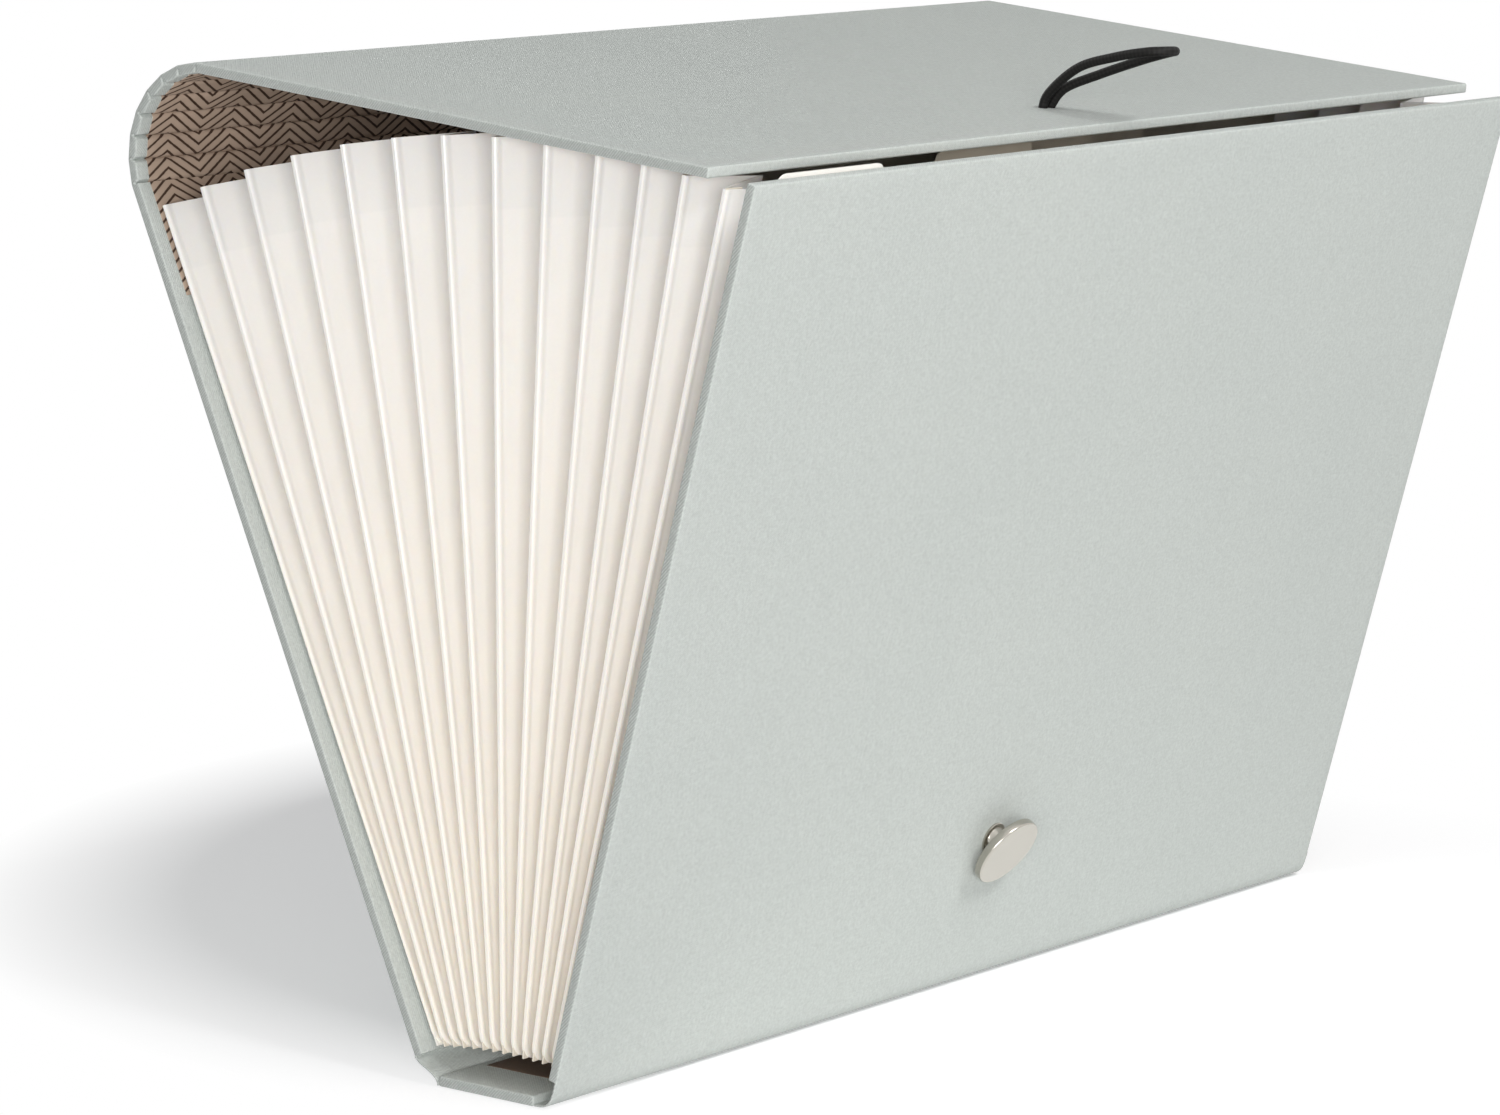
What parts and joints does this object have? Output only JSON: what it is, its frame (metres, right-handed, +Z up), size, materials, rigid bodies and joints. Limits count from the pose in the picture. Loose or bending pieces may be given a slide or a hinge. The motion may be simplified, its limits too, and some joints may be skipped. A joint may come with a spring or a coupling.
{
  "type": "expanding file folder",
  "caption": "Expanding file folder: a cloth-covered case leaning open on a narrow spine, with tabbed pleated pockets, a slatted roll-over top, a flap and an elastic loop for a stud.",
  "frame": {"origin": "middle of the spine's underside, where the file rests on a table", "axes": "+X along the spine, +Y from the front cover to the back cover, +Z up"},
  "size_m": [0.33, 0.2016, 0.2482],
  "materials": {
    "book_cloth": "matte pale grey-green book cloth",
    "grey_board": "uncoated grey board",
    "brown_lining_paper": "printed brown lining paper",
    "cream_paper": "satin cream paper",
    "cream_card": "smooth cream card",
    "polished_nickel": "polished nickel plate",
    "black_elastic": "braided matte black elastic"
  },
  "bodies": {
    "spine": {"spine_board": "grey_board", "spine_cloth": "book_cloth", "spine_lining": "brown_lining_paper", "front_hinge_cloth": "book_cloth", "back_hinge_cloth": "book_cloth"},
    "back_cover": {"back_board": "grey_board", "back_cover_cloth": "book_cloth", "back_lining": "brown_lining_paper", "bellows_back_sheet": "cream_paper", "pocket_fold_13": "cream_paper", "slat_hinge_cloth_1": "book_cloth"},
    "front_cover": {"front_board": "grey_board", "front_cover_cloth": "book_cloth", "bellows_front_sheet": "cream_paper", "closure_stud": "polished_nickel", "stud_cap": "polished_nickel", "pocket_fold_1": "cream_paper"},
    "divider_1": {"divider_1": "cream_card", "pocket_fold_2": "cream_paper"},
    "divider_2": {"divider_2": "cream_card", "pocket_fold_3": "cream_paper"},
    "divider_3": {"divider_3": "cream_card", "pocket_fold_4": "cream_paper"},
    "divider_4": {"divider_4": "cream_card", "pocket_fold_5": "cream_paper"},
    "divider_5": {"divider_5": "cream_card"},
    "middle_fold": {"pocket_fold_6": "cream_paper"},
    "divider_6": {"divider_6": "cream_card"},
    "divider_7": {"divider_7": "cream_card", "pocket_fold_7": "cream_paper"},
    "divider_8": {"divider_8": "cream_card", "pocket_fold_8": "cream_paper"},
    "divider_9": {"divider_9": "cream_card", "pocket_fold_9": "cream_paper"},
    "divider_10": {"divider_10": "cream_card", "pocket_fold_10": "cream_paper"},
    "divider_11": {"divider_11": "cream_card", "pocket_fold_11": "cream_paper"},
    "divider_12": {"divider_12": "cream_card", "pocket_fold_12": "cream_paper"},
    "rollover_back": {"slat_1": "grey_board", "slat_hinge_cloth_2": "book_cloth", "slat_2": "grey_board", "slat_hinge_cloth_3": "book_cloth"},
    "rollover_middle": {"slat_3": "grey_board", "slat_hinge_cloth_4": "book_cloth", "slat_4": "grey_board", "slat_hinge_cloth_5": "book_cloth"},
    "rollover_front": {"slat_5": "grey_board", "slat_hinge_cloth_6": "book_cloth", "slat_6": "grey_board", "slat_hinge_cloth_7": "book_cloth", "slat_7": "grey_board", "slat_hinge_cloth_8": "book_cloth"},
    "flap": {"flap_board": "grey_board", "flap_cloth": "book_cloth", "flap_lining": "brown_lining_paper", "elastic_loop": "black_elastic", "elastic_anchor": "polished_nickel"}
  },
  "joints": [
    {"name": "back_cover_swing", "type": "hinge", "parent": "spine", "child": "back_cover", "pos_m": [0, 0.0184, 0.0034], "axis": [1, 0, 0], "range_deg": [0, 23.9], "deforming": ["back_hinge_cloth"]},
    {"name": "front_cover_swing", "type": "hinge", "parent": "spine", "child": "front_cover", "pos_m": [0, -0.0184, 0.0034], "axis": [-1, 0, 0], "range_deg": [0, 15.6], "deforming": ["front_hinge_cloth"]},
    {"name": "divider_1_swing", "type": "hinge", "parent": "front_cover", "child": "divider_1", "pos_m": [0, -0.0184, 0.0034], "axis": [1, 0, 0], "range_deg": [0, 1.5], "deforming": ["pocket_fold_1"]},
    {"name": "divider_2_swing", "type": "hinge", "parent": "divider_1", "child": "divider_2", "pos_m": [0, -0.0184, 0.0034], "axis": [1, 0, 0], "range_deg": [0, 2.4], "deforming": ["pocket_fold_2"]},
    {"name": "divider_3_swing", "type": "hinge", "parent": "divider_2", "child": "divider_3", "pos_m": [0, -0.0184, 0.0034], "axis": [1, 0, 0], "range_deg": [0, 2.4], "deforming": ["pocket_fold_3"]},
    {"name": "divider_4_swing", "type": "hinge", "parent": "divider_3", "child": "divider_4", "pos_m": [0, -0.0184, 0.0034], "axis": [1, 0, 0], "range_deg": [0, 2.8], "deforming": ["pocket_fold_4"]},
    {"name": "divider_5_swing", "type": "hinge", "parent": "divider_4", "child": "divider_5", "pos_m": [0, -0.0184, 0.0034], "axis": [1, 0, 0], "range_deg": [0, 3.3], "deforming": ["pocket_fold_5"]},
    {"name": "middle_fold_swing", "type": "hinge", "parent": "divider_5", "child": "middle_fold", "pos_m": [0, -0.00142, 0.0034], "axis": [1, 0, 0], "range_deg": [0, 3.35], "deforming": ["pocket_fold_6"]},
    {"name": "divider_12_swing", "type": "hinge", "parent": "back_cover", "child": "divider_12", "pos_m": [0, 0.0184, 0.0034], "axis": [-1, 0, 0], "range_deg": [0, 3.2], "deforming": ["pocket_fold_13"]},
    {"name": "divider_11_swing", "type": "hinge", "parent": "divider_12", "child": "divider_11", "pos_m": [0, 0.0184, 0.0034], "axis": [-1, 0, 0], "range_deg": [0, 3.35], "deforming": ["pocket_fold_12"]},
    {"name": "divider_10_swing", "type": "hinge", "parent": "divider_11", "child": "divider_10", "pos_m": [0, 0.0184, 0.0034], "axis": [-1, 0, 0], "range_deg": [0, 3.45], "deforming": ["pocket_fold_11"]},
    {"name": "divider_9_swing", "type": "hinge", "parent": "divider_10", "child": "divider_9", "pos_m": [0, 0.0184, 0.0034], "axis": [-1, 0, 0], "range_deg": [0, 3.55], "deforming": ["pocket_fold_10"]},
    {"name": "divider_8_swing", "type": "hinge", "parent": "divider_9", "child": "divider_8", "pos_m": [0, 0.0184, 0.0034], "axis": [-1, 0, 0], "range_deg": [0, 3.55], "deforming": ["pocket_fold_9"]},
    {"name": "divider_7_swing", "type": "hinge", "parent": "divider_8", "child": "divider_7", "pos_m": [0, 0.0184, 0.0034], "axis": [-1, 0, 0], "range_deg": [0, 3.3], "deforming": ["pocket_fold_8"]},
    {"name": "divider_6_swing", "type": "hinge", "parent": "divider_7", "child": "divider_6", "pos_m": [0, 0.0184, 0.0034], "axis": [-1, 0, 0], "range_deg": [0, 3.35], "deforming": ["pocket_fold_7"]},
    {"name": "rollover_back_hinge", "type": "hinge", "parent": "back_cover", "child": "rollover_back", "pos_m": [0, 0.11521, 0.21421], "axis": [-1, 0, 0], "range_deg": [0, 28], "deforming": ["slat_hinge_cloth_1"]},
    {"name": "rollover_middle_hinge", "type": "hinge", "parent": "rollover_back", "child": "rollover_middle", "pos_m": [0, 0.11553, 0.22689], "axis": [-1, 0, 0], "range_deg": [0, 58], "deforming": ["slat_hinge_cloth_3"]},
    {"name": "rollover_front_hinge", "type": "hinge", "parent": "rollover_middle", "child": "rollover_front", "pos_m": [0, 0.10947, 0.23804], "axis": [-1, 0, 0], "range_deg": [0, 58], "deforming": ["slat_hinge_cloth_5"]},
    {"name": "flap_lift", "type": "hinge", "parent": "rollover_front", "child": "flap", "pos_m": [0, 0.09233, 0.24569], "axis": [-1, 0, 0], "range_deg": [0, 60], "deforming": ["slat_hinge_cloth_8"]}
  ],
  "couplings": [
    {"joint": "front_cover_swing", "follows": "back_cover_swing", "ratio": 0.65271},
    {"joint": "divider_1_swing", "follows": "back_cover_swing", "ratio": 0.06276},
    {"joint": "divider_2_swing", "follows": "back_cover_swing", "ratio": 0.10041},
    {"joint": "divider_3_swing", "follows": "back_cover_swing", "ratio": 0.10041},
    {"joint": "divider_4_swing", "follows": "back_cover_swing", "ratio": 0.11715},
    {"joint": "divider_5_swing", "follows": "back_cover_swing", "ratio": 0.13807},
    {"joint": "middle_fold_swing", "follows": "back_cover_swing", "ratio": 0.14016},
    {"joint": "divider_12_swing", "follows": "back_cover_swing", "ratio": 0.13389},
    {"joint": "divider_11_swing", "follows": "back_cover_swing", "ratio": 0.14016},
    {"joint": "divider_10_swing", "follows": "back_cover_swing", "ratio": 0.14435},
    {"joint": "divider_9_swing", "follows": "back_cover_swing", "ratio": 0.14853},
    {"joint": "divider_8_swing", "follows": "back_cover_swing", "ratio": 0.14853},
    {"joint": "divider_7_swing", "follows": "back_cover_swing", "ratio": 0.13807},
    {"joint": "divider_6_swing", "follows": "back_cover_swing", "ratio": 0.14016},
    {"joint": "rollover_back_hinge", "follows": "back_cover_swing", "ratio": 1.1715}
  ]
}
